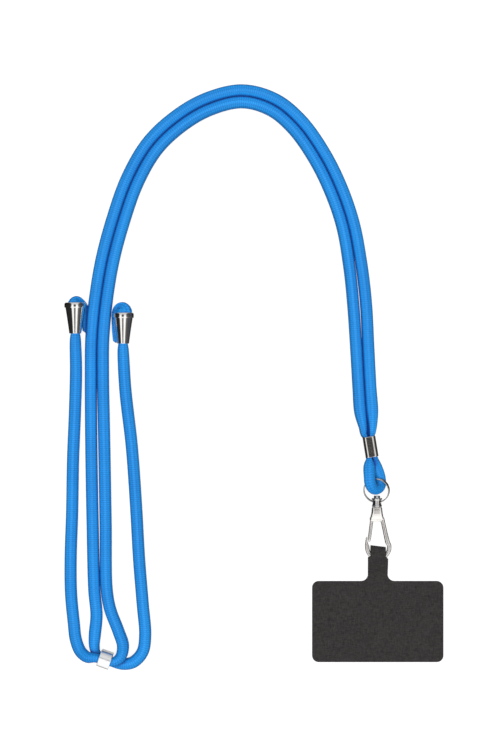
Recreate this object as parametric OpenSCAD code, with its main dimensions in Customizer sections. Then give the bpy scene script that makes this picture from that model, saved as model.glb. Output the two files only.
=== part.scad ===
// Neck lanyard: one doubled braided cord, an oval crimp, a split ring,
// a small swivel hook and a fabric tab that slips behind a phone.
// It lies flat: +Z up, origin at the centre of the tab's back face.

/* [Cord] */
// Diameter of the braided cord
cord_d = 5.5; // [5:0.1:6]
// Smallest gap between the two strands where they run side by side
strand_gap = 0.1; // [0.05:0.05:0.5]

/* [Crimp] */
// Length of the oval crimp
crimp_l = 9.4; // [7:0.2:12]
// Wall of the crimp
crimp_wall = 0.5; // [0.3:0.1:0.8]

/* [Keeper] */
// Length of the keeper along the cords
keeper_l = 5.6; // [4.5:0.2:7]
// Wall of the keeper
keeper_wall = 0.5; // [0.3:0.1:0.8]

/* [Cord ends] */
// Length of a bell-shaped cord end
cone_l = 14; // [11:0.5:17]
// Diameter across the lip of the bell
lip_d = 10; // [9:0.2:10.6]
// Outside diameter at the narrow end
throat_d = 5.5; // [5:0.1:6]
// Wall of the bell
cone_wall = 0.5; // [0.3:0.1:0.8]

/* [Split ring] */
// Diameter of the ring's wire circle, middle to middle
ring_mid_d = 11.5; // [11:0.1:12]
// Width of the ring's wire across the ring
wire_w = 1.4; // [1.1:0.1:1.6]
// Thickness of one turn of the ring
turn_t = 0.58; // [0.4:0.02:0.7]

/* [Hook] */
// Thickness of the hook's flat arms
hook_t = 2.4; // [2:0.1:2.8]
// Diameter of the round bar that holds the tab
bar_d = 2.36; // [2:0.02:2.6]
// Middle radius of the bar's bend
bar_r = 4.9; // [4.6:0.1:5.6]
// Diameter of the swivel collar
collar_d = 5; // [4.6:0.1:5.6]
// Diameter of the swivel stem
stem_d = 2.2; // [1.8:0.1:2.6]
// Running clearance between moving metal pieces, on the radius
run_gap = 0.06; // [0.02:0.01:0.1]
// Diameter of the gate's pin
pin_d = 0.9; // [0.7:0.1:1.1]
// Width of the gate
gate_w = 1.5; // [1.2:0.1:1.8]

/* [Tab] */
// Width of the tab
tab_w = 60; // [40:1:75]
// Height of the tab, without its neck
tab_h = 37; // [28:1:40]
// Corner radius of the tab
tab_r = 3; // [1:0.5:8]
// Thickness of the fabric
fabric_t = 0.6; // [0.4:0.1:0.8]
// Thickness of the backing
backing_t = 0.4; // [0.2:0.1:0.6]
// Width of the tab's neck
neck_w = 9; // [7.5:0.5:12]

/* [Hidden] */
$fn = 64;
cut = 1; // how far a cutting shape runs past a face

// heights and axes shared by several pieces
hook_x = -0.5;
hook_z = 2.65;
lie_z = cord_d / 2 + 0.05; // middle of a cord that lies on the surface

// split ring: middle of its circle and how it leans
ring_c = [-0.8, 60.15, 4.13];
ring_lean = [16, -12, 0];
eye_turn = -12; // the eye leans with the ring

// swivel, along Y
eye_c = [-0.5, 54.86, 2.65];
eye_hole_r = wire_w / 2 + 0.6;
collar_top = 52.5;
collar_end = 47.6;
head_y = 49.7; // lower face of the stem's head
head_h = 0.9;
head_d = stem_d + 1.2;

// crimp: middle of its axis and its turn about Z
crimp_c = [-3.65, 80.05, 3.9];
crimp_turn = 9.2;
squeezed_w = 1.2; // half width of a strand inside the crimp
squeezed_h = cord_d / 2 + 0.25; // half height of a strand inside the crimp
fit_gap = 0.08;
crimp_in_w = 4 * squeezed_w + 3 * fit_gap;
crimp_in_h = 2 * squeezed_h + 1.6;

// keeper: middle of its axis and its turn about Z; two squeezed cords lie in it, one on the other
keeper_in_w = cord_d + 1.2;
keeper_in_h = 2 * cord_d - 0.9;
keeper_c = [-124.3, -16.6, keeper_in_h / 2 + keeper_wall + 0.05];
keeper_turn = -19.7;
kept_w = cord_d / 2 - 0.65; // half width of a cord inside the keeper
kept_h = cord_d / 2 - 0.35; // half height of a cord inside the keeper
kept_low = keeper_c.z - kept_h - 0.1;
kept_high = keeper_c.z + kept_h + 0.1;

// bells: throat ends, both pointing along +Y, lips just off the surface
bell_z = lip_d / 2 + 0.4;
left_throat = [-137.9, 131.6, bell_z];
right_throat = [-116.1, 127, bell_z];
lip_l = 2.4;
lip_step = 0.5;
plug_r = throat_d / 2 - cone_wall - 0.15; // half width of the cord inside a bell
dome_r = lip_d / 2 - lip_step - cone_wall - 1; // half width of the cord in the mouth

// hook outline, about its own axis
bar_c = [0.6, 34.2]; // middle of the bar's bend, from hook_x
pivot = [-2.3, 47.1];
tip_y = 36;
slot_h = hook_t * 0.6; // height of the gate's slot
nose_t = hook_t * 0.8; // thickness of the hook's nose and of the gate's arm

// tab: neck and fold
fold_y = 35.1;
fold_w = neck_w - 2.4;
fold_r = hook_z - backing_t; // outer radius of the fold
swing_y = 29.9;

// middle line of the two strands, from the lower left, over the top, to the crimp;
// each row: x, y, and how much wider the gap is there
mid_line = [[-126.6, 15, 0.2], [-127.2, 45, 0.5], [-127.8, 80, 0.5], [-128.2, 112, 0.1],
            [-128, 130, 0], [-126.4, 147, 0], [-123.4, 165, 0], [-118.6, 183, 0],
            [-112, 201.5, 0], [-103, 217, 0], [-91.5, 228, 0], [-78, 236, 0], [-62, 239.8, 0],
            [-48, 236, 0], [-37, 227, 0], [-27, 213, 0], [-19.5, 198, 0], [-13.8, 181.5, 0],
            [-10.4, 163, 0.2], [-8.4, 145, 0.4], [-7.2, 125, 0.1], [-6.2, 107, 0], [-5.4, 96, 0]];

c = cord_d / 2;
// each row: x, y, z, half width, half height
left_mouth = left_throat.y + cone_l;
right_mouth = right_throat.y + cone_l;
left_end = [[-133.4, left_mouth - 13.6, 1.5, 1.3, 1.4], [-133.4, left_mouth - 6.6, 1.4, 1.3, 1.3],
            [-132.7, left_mouth - 1.1, 1.1, 1.2, 1], [-132.9, left_mouth + 1.1, 1.4, 1.1, 1.1],
            [-134.9, left_mouth + 2.1, 3.6, 1.4, 1.4], [-137.3, left_mouth + 1.4, 5.6, 2.2, 1.8],
            [-137.9, left_mouth - 1.6, bell_z, dome_r, 2.6],
            [-137.9, left_mouth - 7.6, bell_z, plug_r, plug_r],
            [-137.9, left_throat.y, bell_z, plug_r, plug_r],
            [-137.9, left_throat.y - 2.6, 5.2, 2.5, 2.5]];
left_tail = [[-137.7, 115, 3.5, c, c], [-138.2, 97, lie_z, c, c], [-139.1, 74, lie_z, c, c],
             [-139.5, 51, lie_z, c, c], [-140.2, 28, lie_z, c, c], [-140, 13, lie_z, c, c],
             [-138.8, 0, lie_z, c, c], [-137.8, -8, 3, c, c], [-135.6, -13.2, 4, c, c],
             [-132.2, -15.6, 6.2, 2.6, 2.6]];
over_keeper = [[-128.6, -15.7, kept_high, kept_w, kept_h], [-120.3, -17.4, kept_high, kept_w, kept_h]];
inner_rise = [[-117.2, -15.4, 6.8, 2.5, 2.5], [-116.2, -10.6, 4.6, c, c], [-118.4, -4, 3.1, c, c],
              [-122.2, 6, lie_z, c, c]];
bight = [[-4.3, 71.4, 6.4, 2.6, 2.6], [-4.3, 67, 8.2, 2.6, 2.4], [-3.9, 63.4, 8.1, 2.6, 2.4],
         [-2.4, 61, 6.4, 2.5, 2.4], [-0.4, 60.7, 4.4, 2.4, 2.4], [1.2, 62.2, 2.5, 2.4, 2.3],
         [1, 65.6, 2.4, 2.6, 2.3], [-0.6, 70.6, 2.7, 2.6, 2.5]];
outer_fall = [[-128.4, 3, lie_z, c, c], [-129.2, -6, lie_z, c, c], [-129.4, -11.2, 2.9, 2.4, 2.5]];
under_keeper = [[-128.3, -14.6, kept_low, kept_w, kept_h], [-120.6, -18.5, kept_low, kept_w, kept_h]];
right_tail = [[-116.6, -19.2, lie_z, 2.6, c], [-111.6, -18.2, lie_z, c, c],
              [-107.4, -13.6, lie_z, c, c], [-106.2, -6, lie_z, c, c], [-107.3, 8, lie_z, c, c],
              [-109, 29, lie_z, c, c], [-110.3, 52, lie_z, c, c], [-112.3, 80, lie_z, c, c],
              [-115.2, 106, 3.5, c, c]];
right_end = [[-116.1, right_throat.y - 2.6, 5.2, 2.5, 2.5],
             [-116.1, right_throat.y, bell_z, plug_r, plug_r],
             [-116.1, right_mouth - 7.6, bell_z, plug_r, plug_r],
             [-116.1, right_mouth - 1.6, bell_z, dome_r, 2.6],
             [-116.3, right_mouth + 1.6, 5.6, 2.8, 1.8], [-118.8, right_mouth + 2.7, 3.6, 1.8, 1.4],
             [-120.9, right_mouth + 1.4, 1.4, 1.1, 1.1], [-121, right_mouth - 1.2, 1.1, 1, 1],
             [-120.2, right_mouth - 6.6, 1.4, 1.3, 1.3],
             [-119.6, right_mouth - 13.6, 1.5, 1.3, 1.4]];

// a strand runs half a cord and half a gap to the left or right of the middle line
function across(p, i) =
  let (d = p[min(i + 1, len(p) - 1)] - p[max(i - 1, 0)]) [-d.y, d.x] / norm([d.x, d.y]);
function strand(side) =
  [for (i = [0:len(mid_line) - 1])
    let (m = mid_line[i],
         q = [m.x, m.y] + side * (cord_d + strand_gap + m.z) / 2 * across(mid_line, i))
      [q.x, q.y, lie_z, c, c]];
// the strands' way through the crimp, from its upper mouth down
crimp_dir = [sin(crimp_turn), -cos(crimp_turn)];
crimp_side = [cos(crimp_turn), sin(crimp_turn)];
lead_in = 0.62; // where the first row stands, in crimp lengths before its middle
function in_crimp(side) =
  [for (s = [-lead_in, -0.5, 0.5])
    let (q = [crimp_c.x, crimp_c.y] + s * crimp_l * crimp_dir
             + side * (squeezed_w + fit_gap / 2) * crimp_side)
      s == -lead_in ? [q.x, q.y, crimp_c.z - 0.3, squeezed_w + 0.02, squeezed_h - 0.3]
                    : [q.x, q.y, crimp_c.z, squeezed_w, squeezed_h]];
function back(rows) = [for (i = [len(rows) - 1:-1:0]) rows[i]];
route = concat(left_end, left_tail, over_keeper, inner_rise, strand(-1), in_crimp(-1), bight,
               back(in_crimp(1)), back(strand(1)), outer_fall, under_keeper, right_tail, right_end);

function place(r) = [r.x, r.y, r.z];
function heading(i) =
  let (d = place(route[min(i + 1, len(route) - 1)]) - place(route[max(i - 1, 0)])) d / norm(d);
sides = 10;
function cord_ring(i) =
  let (t = heading(i), s0 = cross([0, 0, 1], t), s = s0 / norm(s0), u = cross(t, s))
    [for (k = [0:sides - 1]) let (a = 360 * (k + 0.5) / sides)
      place(route[i]) + route[i][3] * cos(a) * s + route[i][4] * sin(a) * u];

module cord() {
  rows = len(route);
  color("royalblue")
    polyhedron(
      points = [for (i = [0:rows - 1]) each cord_ring(i)],
      faces = concat(
        [[for (k = [0:sides - 1]) k]],
        [for (i = [0:rows - 2]) for (k = [0:sides - 1])
          let (m = (k + 1) % sides)
            each [[i * sides + k, (i + 1) * sides + k, i * sides + m],
                  [i * sides + m, (i + 1) * sides + k, (i + 1) * sides + m]]],
        [[for (k = [sides - 1:-1:0]) (rows - 1) * sides + k]]),
      convexity = 10);
}

// flat oval, round at both ends, standing along Y
module oval(w, h) {
  r = w / 2;
  translate([0, h / 2 - r]) circle(r);
  translate([0, r - h / 2]) circle(r);
  square([w, h - w], center = true);
}

// oval tube along Y, round its own middle
module oval_tube(w, h, wall, l) {
  rotate([90, 0, 0]) linear_extrude(l, center = true) difference() {
    oval(w + 2 * wall, h + 2 * wall);
    oval(w, h);
  }
}

module ring_crimp() {
  color("gainsboro") translate(crimp_c) rotate([0, 0, crimp_turn])
    oval_tube(crimp_in_w, crimp_in_h, crimp_wall, crimp_l);
}

module keeper_band() {
  color("silver") translate(keeper_c) rotate([0, 0, keeper_turn + 90])
    oval_tube(keeper_in_w, keeper_in_h, keeper_wall, keeper_l);
}

// bell: throat at y = 0, mouth at y = cone_l
module bell() {
  r0 = throat_d / 2;
  r1 = lip_d / 2;
  soft = 0.3; // bevel of the lip
  shoulder = cone_l - lip_l;
  rotate([-90, 0, 0]) rotate_extrude() polygon([
    [r0 - cone_wall, 0], [r0, 0], [r1 - lip_step, shoulder], [r1, shoulder + soft],
    [r1, cone_l - soft], [r1 - soft, cone_l], [r1 - lip_step - cone_wall, cone_l],
    [r1 - lip_step - cone_wall, shoulder]]);
}

module left_cone() { color("gainsboro") translate(left_throat) bell(); }
module right_cone() { color("gainsboro") translate(right_throat) bell(); }

// two turns of flat wire, pressed together, with a fine groove between
module split_ring() {
  groove = 0.1;
  color("silver") translate(ring_c) rotate(ring_lean) rotate_extrude($fn = 96) {
    translate([ring_mid_d / 2, 0]) {
      for (s = [-1, 1]) translate([0, s * turn_t / 2]) square([wire_w, turn_t], center = true);
      square([wire_w - 2 * groove, turn_t], center = true);
    }
  }
}

// swivel eye: barrel with a cross hole for the ring, and a headed stem in the hook
module swivel_eye() {
  nose_top = 57.7;
  nose_d = 2.9;
  eye_top = 56.6;
  neck_gap = 0.15;
  color("gainsboro") {
    difference() {
      union() {
        translate([hook_x, collar_top + neck_gap, hook_z]) rotate([-90, 0, 0])
          cylinder(d = collar_d - 0.2, h = eye_top - collar_top - neck_gap);
        translate([hook_x, eye_top - cut, hook_z]) rotate([-90, 0, 0])
          cylinder(d = nose_d, h = nose_top - eye_top + cut);
      }
      translate(eye_c) rotate([0, eye_turn, 0]) rotate([0, 90, 0])
        cylinder(r = eye_hole_r, h = collar_d + 2 * cut, center = true);
    }
    translate([hook_x, head_y, hook_z]) rotate([-90, 0, 0]) {
      cylinder(d = stem_d, h = collar_top + neck_gap - head_y);
      cylinder(d = head_d, h = head_h);
    }
  }
}

// flat outline of the hook's arms, about its own axis
module arms_outline() {
  right_in = bar_c.x + bar_r - bar_d / 2;
  right_out = bar_c.x + bar_r + bar_d / 2;
  polygon([[-2.4, 50], [2.4, 50], [3.4, 46.6], [right_out, bar_c.y], [right_in, bar_c.y],
           [1.5, 46.6], [-1, 46.2], [-3.2, 46.2], [-3.3, 47.6]]);
  translate(pivot) circle(1.3);
}

module nose_outline() {
  left_in = bar_c.x - bar_r + bar_d / 2;
  left_out = bar_c.x - bar_r - bar_d / 2;
  polygon([[left_out, bar_c.y], [-4.95, 38.9], [-4.7, 38.9], [left_in - 1.1, bar_c.y + 1.2],
           [left_in, bar_c.y]]);
}

module hook_body() {
  color("gainsboro") translate([hook_x, 0, hook_z]) difference() {
    union() {
      linear_extrude(hook_t, center = true) arms_outline();
      linear_extrude(nose_t, center = true) nose_outline();
      translate([0, collar_end, 0]) rotate([-90, 0, 0])
        cylinder(d = collar_d, h = collar_top - collar_end);
      translate([bar_c.x, bar_c.y, 0]) rotate([0, 0, 180])
        rotate_extrude(angle = 180) translate([bar_r, 0]) circle(d = bar_d);
    }
    // bore and pocket of the swivel
    translate([0, head_y - run_gap, 0]) rotate([-90, 0, 0]) {
      cylinder(r = stem_d / 2 + run_gap, h = collar_top - head_y + cut);
      cylinder(r = head_d / 2 + run_gap, h = head_h + 2 * run_gap);
    }
    // slot for the gate's knuckle, open to the left and below
    linear_extrude(slot_h, center = true) polygon([
      [-1, 48.4], [-4, 48.4], [-4, 44], [1, 44], [1, 46.4]]);
    translate([pivot.x, pivot.y, 0]) cylinder(d = pin_d, h = hook_t + collar_d, center = true);
  }
}

// gate: a thin knuckle in the slot, and a thicker arm leaning towards the bar's end
module gate() {
  knuckle_h = slot_h - 2 * run_gap;
  knuckle_r = 1.1;
  lean = 7.2;
  reach = pivot.y - tip_y - gate_w / 2; // from the pin to the middle of the round tip
  thin_l = 1.7; // length of the arm that stays in the slot
  color("gainsboro") translate([hook_x + pivot.x, pivot.y, hook_z]) difference() {
    union() {
      cylinder(r = knuckle_r, h = knuckle_h, center = true);
      rotate([0, 0, -lean]) translate([-gate_w / 2, -reach, 0]) {
        translate([0, 0, -knuckle_h / 2]) cube([gate_w, reach, knuckle_h]);
        translate([0, 0, -nose_t / 2]) cube([gate_w, reach - thin_l, nose_t]);
        translate([gate_w / 2, 0, 0]) cylinder(d = gate_w, h = nose_t, center = true);
      }
    }
    cylinder(r = pin_d / 2 + run_gap, h = hook_t + cut, center = true);
    cylinder(r = coil_r + coil_room, h = 2 * (coil_wire + coil_room), center = true);
  }
}

module gate_pin() {
  color("silver") translate([hook_x + pivot.x, pivot.y, hook_z])
    cylinder(d = pin_d, h = hook_t, center = true);
}

// small coil of two turns round the pin, inside the gate's knuckle
coil_wire = 0.24;
coil_r = pin_d / 2 + 0.15 + coil_wire; // outer radius
coil_room = 0.08;
module gate_spring() {
  color("dimgray") translate([hook_x + pivot.x, pivot.y, hook_z])
    for (s = [-1, 1]) translate([0, 0, s * coil_wire / 2]) rotate_extrude()
      translate([coil_r - coil_wire / 2, 0]) square([coil_wire, coil_wire], center = true);
}

// rounded plate of the tab, without its neck
module plate_outline() {
  for (x = [-1, 1]) for (y = [-1, 1])
    translate([x * (tab_w / 2 - tab_r), y * (tab_h / 2 - tab_r)]) circle(tab_r);
  square([tab_w - 2 * tab_r, tab_h], center = true);
  square([tab_w, tab_h - 2 * tab_r], center = true);
}

module tab_outline() {
  fillet = 3.2;
  top = tab_h / 2;
  plate_outline();
  difference() {
    translate([-neck_w / 2 - fillet, top - 0.1]) square([neck_w + 2 * fillet, fillet + 0.1]);
    for (x = [-1, 1]) translate([x * (neck_w / 2 + fillet), top + fillet]) circle(fillet);
  }
}

module neck_outline() {
  shoulder = swing_y + 0.4;
  polygon([[-neck_w / 2, 0], [neck_w / 2, 0], [neck_w / 2, shoulder - 1], [fold_w / 2, shoulder],
           [fold_w / 2, fold_y + 1], [-fold_w / 2, fold_y + 1], [-fold_w / 2, shoulder],
           [-neck_w / 2, shoulder - 1]]);
}

// side view of the neck: it rises, folds over the bar and comes back
module neck_profile() {
  mid_y = fold_y - fold_r;
  low = backing_t;
  high = low + 2 * fold_r;
  in_r = fold_r - fabric_t;
  rise_from = 21.5; // where the front layer leaves the flat part
  rise_to = 28; // where it reaches the height of the fold
  difference() {
    union() {
      translate([mid_y, hook_z]) circle(fold_r);
      polygon([[0, low], [mid_y, low], [mid_y, high], [rise_to, high],
               [rise_from, low + fabric_t], [0, low + fabric_t]]);
    }
    translate([mid_y, hook_z]) circle(in_r);
    polygon([[rise_from + 1.1, low + fabric_t], [mid_y, low + fabric_t],
             [mid_y, high - fabric_t], [rise_to + 0.2, high - fabric_t]]);
  }
}

module tab_fabric() {
  color([0.23, 0.21, 0.2]) {
    translate([0, 0, backing_t]) linear_extrude(fabric_t) tab_outline();
    intersection() {
      linear_extrude(8) neck_outline();
      rotate([90, 0, 90]) linear_extrude(neck_w + 2, center = true) neck_profile();
    }
  }
}

module tab_backing() {
  color([0.16, 0.16, 0.17]) linear_extrude(backing_t) plate_outline();
}

cord();
ring_crimp();
keeper_band();
left_cone();
right_cone();
split_ring();
swivel_eye();
hook_body();
gate();
gate_pin();
gate_spring();
tab_fabric();
tab_backing();
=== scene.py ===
import math

import bmesh
import bpy
import numpy as np
from mathutils import Matrix, Vector


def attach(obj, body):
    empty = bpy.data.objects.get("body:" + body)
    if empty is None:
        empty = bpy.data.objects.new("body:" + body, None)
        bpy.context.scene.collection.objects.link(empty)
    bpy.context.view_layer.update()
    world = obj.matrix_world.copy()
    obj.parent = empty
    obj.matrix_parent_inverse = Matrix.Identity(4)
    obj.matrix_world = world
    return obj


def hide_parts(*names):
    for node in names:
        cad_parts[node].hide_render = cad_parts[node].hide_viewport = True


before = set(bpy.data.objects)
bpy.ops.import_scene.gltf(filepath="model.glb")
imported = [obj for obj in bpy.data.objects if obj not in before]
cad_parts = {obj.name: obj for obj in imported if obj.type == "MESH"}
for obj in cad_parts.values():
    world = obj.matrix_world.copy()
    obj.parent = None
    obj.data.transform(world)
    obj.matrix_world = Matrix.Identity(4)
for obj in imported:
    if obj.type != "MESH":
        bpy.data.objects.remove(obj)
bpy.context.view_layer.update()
mm = 0.001
up = np.array([0.0, 0.0, 1.0])


# the camera looks straight down at the table
view = {
    "middle": (-58.4, 112.7),  # the point below the camera, mm
    "tall": 342.0,  # height of the view on the table
    "lens": 100.0,
    "sensor": 36.0,
    "nearest": 0.01,
    "raise": 3.0,  # the sizes are true at this height over the table
}

cameraData = bpy.data.cameras.new("camera")
cameraData.lens = view["lens"]
cameraData.sensor_width = view["sensor"]
cameraData.clip_start = view["nearest"]
camera = bpy.data.objects.new("camera", cameraData)
bpy.context.scene.collection.objects.link(camera)
camera.location = (
    view["middle"][0] * mm, view["middle"][1] * mm,
    (view["tall"] * view["lens"] / view["sensor"] + view["raise"]) * mm)
bpy.context.scene.camera = camera
print("camera placed")


# a socket that adds Math nodes when it is used in an expression
class Wire:
    def __init__(self, board, socket):
        self.board, self.socket = board, socket

    def math(self, operation, *others):
        return self.board.node("ShaderNodeMath", {"operation": operation},
                               dict(enumerate((self, *others))))

    def flipped(self, operation, other):
        return self.board.node("ShaderNodeMath", {"operation": operation}, {0: other, 1: self})

    # another output of the same node
    def output(self, key):
        return Wire(self.board, self.socket.node.outputs[key])

    def between(self, low, high):
        return self.math("MAXIMUM", low).math("MINIMUM", high)

    def __add__(self, other):
        return self.math("ADD", other)

    def __sub__(self, other):
        return self.math("SUBTRACT", other)

    def __rsub__(self, other):
        return self.flipped("SUBTRACT", other)

    def __mul__(self, other):
        return self.math("MULTIPLY", other)

    def __truediv__(self, other):
        return self.math("DIVIDE", other)

    def __rtruediv__(self, other):
        return self.flipped("DIVIDE", other)

    __radd__ = __add__
    __rmul__ = __mul__


# a node tree whose node() makes any node: its settings first, then its inputs
class Board:
    def __init__(self, tree, outType):
        self.tree = tree
        self.tree.nodes.clear()
        self.out = self.tree.nodes.new(outType)

    def node(self, kind, settings=None, inputs=None, output=0):
        made = self.tree.nodes.new(kind)
        for key, value in (settings or {}).items():
            if key == "stops":
                ramp = made.color_ramp.elements
                while len(ramp) < len(value):
                    ramp.new(0.5)
                for stop, (place, colour) in zip(ramp, value):
                    stop.position, stop.color = place, colour
            else:
                setattr(made, key, value)
        for key, value in (inputs or {}).items():
            if isinstance(value, Wire):
                self.tree.links.new(value.socket, made.inputs[key])
            else:
                made.inputs[key].default_value = value
        return Wire(self, made.outputs[output])

    def finish(self, shader):
        self.tree.links.new(shader.socket, self.out.inputs["Surface"])


# one material, with the patterns that several finishes share
class Finish(Board):
    def __init__(self, name):
        self.material = bpy.data.materials.new(name)
        self.material.use_nodes = True
        super().__init__(self.material.node_tree, "ShaderNodeOutputMaterial")

    def place(self):
        return self.node("ShaderNodeTexCoord", output="Object")

    def mix(self, low, high, amount):
        return self.node("ShaderNodeMix", {"data_type": "RGBA"}, {0: amount, 6: low, 7: high}, 2)

    def noise(self, place, scale, detail=3.0, rough=0.5):
        return self.node("ShaderNodeTexNoise", None,
                         {"Vector": place, "Scale": scale, "Detail": detail, "Roughness": rough})

    def stretch(self, place, factors):
        return self.node("ShaderNodeMapping", None, {"Vector": place, "Scale": factors})

    def bump(self, height, depth, strength=1.0):
        return self.node("ShaderNodeBump", None,
                         {"Height": height, "Distance": depth, "Strength": strength})

    def surface(self, **sockets):
        named = {key.replace("_", " "): value for key, value in sockets.items()}
        self.finish(self.node("ShaderNodeBsdfPrincipled", None, named))
        return self.material


# the cord's braid: columns of slanting stitches, with painted shade in their grooves and where two
# strands touch
braidLook = {
    "bright": (0.010, 0.30, 0.78, 1.0),
    # deep: the darker blue that paints the shade in the braid's grooves
    "deep": (0.0015, 0.088, 0.36, 1.0),
    # a dark blue painted as the shade where two strands touch
    "crease": (0.0003, 0.024, 0.26, 1.0),
    "paintedContactShadeAmount": 0.85,
    "columns": 10,  # rows of stitches round the cord
    "pitch": 0.98,  # length of one stitch, mm
    "chevron": 0.3,  # how far a stitch leans across its column
    "depth": 0.00016,
    "roughness": 0.66,
    "sheen": (0.55, 0.75, 1.0, 1.0),
}


def braidFinish():
    f = Finish("azure_braid")
    uv = f.node("ShaderNodeUVMap", {"uv_map": "sheath"})
    along = f.node("ShaderNodeSeparateXYZ", None, {0: uv})
    around = along.output("Y")
    column = around * braidLook["columns"]
    across = (column.math("FRACT") - 0.5).math("ABSOLUTE") * 2.0
    row = along / braidLook["pitch"] + across * braidLook["chevron"]
    rib = (row * (2 * math.pi)).math("COSINE") * 0.5 + 0.5
    crown = 1.0 - across * across
    height = crown * 0.35 + rib * (crown * 0.25 + 0.4)
    fibre = f.noise(f.stretch(uv, (1.2, 160.0, 1.0)), 6.0, 2.0)
    patchy = f.noise(f.place(), 55.0)
    streak = f.noise(f.stretch(uv, (0.012, 9.0, 1.0)), 1.0, 2.0)  # long, faint streaks
    # painted shade: stitch grooves are coloured darker and stitch crowns lighter, mixed with random
    # fibre, streak and patch tone
    shade = (height * 0.62 + fibre * 0.15 + streak * 0.5 + patchy * 0.25 - 0.18).math("MINIMUM", 1.0)
    crease = f.node("ShaderNodeAttribute", {"attribute_name": "crease"}, output="Fac")
    colour = f.mix(braidLook["deep"], braidLook["bright"], shade)
    # painted shade: the colour darkens where the strands touch, in place of the shadow between them
    colour = f.mix(colour, braidLook["crease"], crease * braidLook["paintedContactShadeAmount"])
    rough = braidLook["roughness"] - rib * 0.12 + fibre * 0.1
    normal = f.bump(height + fibre * 0.25, braidLook["depth"], 0.8)
    return f.surface(Base_Color=colour, Roughness=rough, Normal=normal,
                     Sheen_Weight=0.06, Sheen_Roughness=0.4, Sheen_Tint=braidLook["sheen"],
                     Specular_IOR_Level=0.35)


# plated and cast metal: soft smears of wear over fine pits
def metalFinish(name, clean, worn, roughness, spread, grain):
    f = Finish(name)
    smear = f.noise(f.place(), 260.0, 4.0, 0.6)
    pits = f.noise(f.place(), 2600.0, 2.0)
    wear = ((smear - 0.5) * 2.4 + 0.5).between(0.0, 1.0)
    rough = roughness + (smear - 0.5) * spread + (pits - 0.5) * (spread * 0.5)
    return f.surface(Base_Color=f.mix(worn, clean, wear), Roughness=rough, Metallic=1.0,
                     Normal=f.bump(pits * 0.5 + smear, grain, 0.35))


clothLook = {"thread": 0.42, "depth": 0.00006,
             "dark": (0.008, 0.0072, 0.0075, 1.0), "light": (0.045, 0.0398, 0.040, 1.0)}


def clothFinish():
    f = Finish("charcoal_cloth")
    body = f.place()
    turns = 2 * math.pi / (clothLook["thread"] * mm)
    sideways = f.node("ShaderNodeSeparateXYZ", None, {0: body})
    warp, weft = (sideways * turns).math("SINE"), (sideways.output("Y") * turns).math("SINE")
    weave = warp * weft * 0.5 + 0.5
    slub = f.noise(f.stretch(body, (3.0, 0.6, 1.0)), 700.0, 3.0, 0.6)  # thick and thin threads
    cross = f.noise(f.stretch(body, (0.6, 3.0, 1.0)), 700.0, 3.0, 0.6)
    speckle = f.noise(body, 2300.0, 2.0, 0.7)
    cloud = f.noise(body, 70.0, 2.0)
    grain = (slub - 0.5) * 1.0 + (cross - 0.5) * 1.0 + (speckle - 0.5) * 0.9
    amount = (grain + (cloud - 0.5) * 0.15 + (weave - 0.5) * 0.3 + 0.5).between(0.0, 1.0)
    return f.surface(Base_Color=f.mix(clothLook["dark"], clothLook["light"], amount),
                     Roughness=0.78 + speckle * 0.15,
                     Normal=f.bump(weave + speckle * 0.6, clothLook["depth"], 0.7),
                     Sheen_Weight=0.05, Sheen_Roughness=0.5, Specular_IOR_Level=0.2)


filmLook = {"dark": (0.012, 0.012, 0.013, 1.0), "light": (0.032, 0.032, 0.034, 1.0),
            "depth": 0.00005}


def filmFinish():
    f = Finish("grip_film")
    body = f.place()
    dimple = f.node("ShaderNodeTexVoronoi", None, {"Vector": body, "Scale": 1500.0})
    cloud = f.noise(body, 120.0)
    return f.surface(Base_Color=f.mix(filmLook["dark"], filmLook["light"], cloud),
                     Roughness=0.62 + cloud * 0.2, Normal=f.bump(dimple, filmLook["depth"], 0.6))


# metals: name, clean and worn colour, roughness and its spread, depth of the grain
finishes = {
    "braid": braidFinish(),
    "plate": metalFinish("polished_nickel", (0.86, 0.85, 0.83, 1), (0.78, 0.765, 0.74, 1),
                         0.09, 0.08, 0.000006),
    "satin": metalFinish("satin_nickel", (0.90, 0.90, 0.91, 1), (0.84, 0.84, 0.85, 1),
                         0.36, 0.06, 0.00001),
    "smoked": metalFinish("smoked_nickel", (0.70, 0.68, 0.65, 1), (0.56, 0.54, 0.51, 1),
                          0.1, 0.08, 0.000008),
    "wire": metalFinish("ring_wire", (0.66, 0.645, 0.62, 1), (0.5, 0.48, 0.46, 1),
                        0.14, 0.1, 0.00001),
    "casting": metalFinish("cast_nickel", (0.90, 0.87, 0.845, 1), (0.79, 0.76, 0.735, 1),
                           0.30, 0.12, 0.000005),
    "steel": metalFinish("drawn_steel", (0.56, 0.55, 0.54, 1), (0.36, 0.35, 0.34, 1),
                         0.34, 0.1, 0.00001),
    "cloth": clothFinish(),
    "film": filmFinish(),
}
print("finishes made:", len(finishes))


# helpers that every piece uses; sizes are in mm
def newPiece(name, points, faces, finish, smooth=True):
    mesh = bpy.data.meshes.new(name)
    mesh.from_pydata([tuple(float(x) * mm for x in p) for p in points], [], faces)
    mesh.validate()
    mesh.materials.append(finishes[finish])
    mesh.polygons.foreach_set("use_smooth", [smooth] * len(mesh.polygons))
    piece = bpy.data.objects.new(name, mesh)
    bpy.context.scene.collection.objects.link(piece)
    return piece


def outward(piece):
    b = bmesh.new()
    b.from_mesh(piece.data)
    bmesh.ops.remove_doubles(b, verts=b.verts, dist=1e-7)
    bmesh.ops.recalc_face_normals(b, faces=b.faces)
    b.to_mesh(piece.data)
    b.free()
    return piece


# applies every modifier of a piece, and keeps one plain mesh
def settle(piece):
    bpy.context.view_layer.update()
    graph = bpy.context.evaluated_depsgraph_get()
    baked = bpy.data.meshes.new_from_object(piece.evaluated_get(graph))
    old = piece.data
    piece.modifiers.clear()
    piece.data = baked
    baked.name = piece.name
    if old.users == 0:
        bpy.data.meshes.remove(old)
    return piece


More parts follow.
